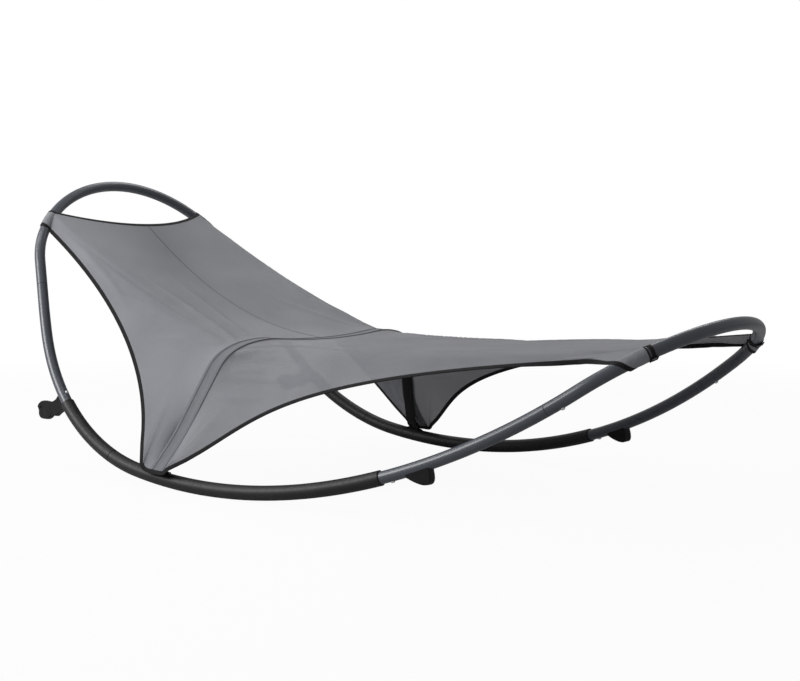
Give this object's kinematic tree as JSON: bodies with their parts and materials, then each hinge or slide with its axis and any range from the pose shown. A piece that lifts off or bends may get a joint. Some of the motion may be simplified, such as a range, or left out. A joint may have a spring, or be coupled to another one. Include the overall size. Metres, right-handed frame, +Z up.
{
  "type": "rocking chaise lounge",
  "caption": "Outdoor rocking lounger: one closed loop of bent steel tube with sleeved rockers, and a cloth sling folded over a cross strap, stretched in it.",
  "frame": {"origin": "bottom centre of the bounding box; the rockers touch z = 0", "axes": "+X to the sitter's feet, +Y to the sitter's left, +Z up"},
  "size_m": [2.2982, 1.1658, 0.8642],
  "materials": {
    "tube_steel": "satin anthracite powder coat",
    "sleeve_plastic": "smooth black extruded sleeve with a dull sheen",
    "moulded_plastic": "black moulding, fine matt texture",
    "screw_steel": "bright zinc",
    "sling_cloth": "grey open woven outdoor cloth, sewn",
    "black_webbing": "black webbing and bound edges, sewn"
  },
  "bodies": {
    "lounge": {"head_bow": "tube_steel", "foot_bow": "tube_steel", "head_rail_right": "tube_steel", "head_rail_left": "tube_steel", "rocker_rail_right": "tube_steel", "rocker_rail_left": "tube_steel", "head_spigot_right": "tube_steel", "head_spigot_left": "tube_steel", "rail_spigot_right": "tube_steel", "rail_spigot_left": "tube_steel", "foot_spigot_right": "tube_steel", "foot_spigot_left": "tube_steel", "upper_sleeve_right": "sleeve_plastic", "upper_sleeve_left": "sleeve_plastic", "runner_sleeve_right": "sleeve_plastic", "runner_sleeve_left": "sleeve_plastic", "head_stopper_right": "moulded_plastic", "head_stopper_left": "moulded_plastic", "foot_stopper_right": "moulded_plastic", "foot_stopper_left": "moulded_plastic", "foot_slide_right": "moulded_plastic", "foot_slide_left": "moulded_plastic", "ring_bracket_right": "moulded_plastic", "ring_bracket_left": "moulded_plastic", "head_joint_screw_right": "screw_steel", "head_joint_screw_left": "screw_steel", "foot_joint_screw_right": "screw_steel", "foot_joint_screw_left": "screw_steel", "sleeve_screw_right": "screw_steel", "sleeve_screw_left": "screw_steel", "stopper_bolt_right": "screw_steel", "stopper_bolt_left": "screw_steel", "back_panel_right": "sling_cloth", "back_panel_left": "sling_cloth", "seat_panel": "sling_cloth", "fold_channel": "sling_cloth", "head_pocket_right": "sling_cloth", "head_pocket_left": "sling_cloth", "foot_pocket_right": "sling_cloth", "foot_pocket_left": "sling_cloth", "back_binding_right": "black_webbing", "back_binding_left": "black_webbing", "seat_binding_right": "black_webbing", "seat_binding_left": "black_webbing", "head_binding": "black_webbing", "foot_binding": "black_webbing", "foot_band_right": "black_webbing", "foot_band_left": "black_webbing", "cross_strap": "black_webbing"},
    "right_ring": {"ring_right": "moulded_plastic", "strap_loop_right": "black_webbing"},
    "left_ring": {"ring_left": "moulded_plastic", "strap_loop_left": "black_webbing"}
  },
  "joints": [
    {"name": "right_ring_swing", "type": "hinge", "parent": "lounge", "child": "right_ring", "pos_m": [-0.29199, -0.54652, 0.05534], "axis": [0.9942, 0.0221, -0.1048], "range_deg": [-45, 6]},
    {"name": "left_ring_swing", "type": "hinge", "parent": "lounge", "child": "left_ring", "pos_m": [-0.29199, 0.54652, 0.05534], "axis": [0.9942, -0.0221, -0.1048], "range_deg": [-6, 45]}
  ]
}
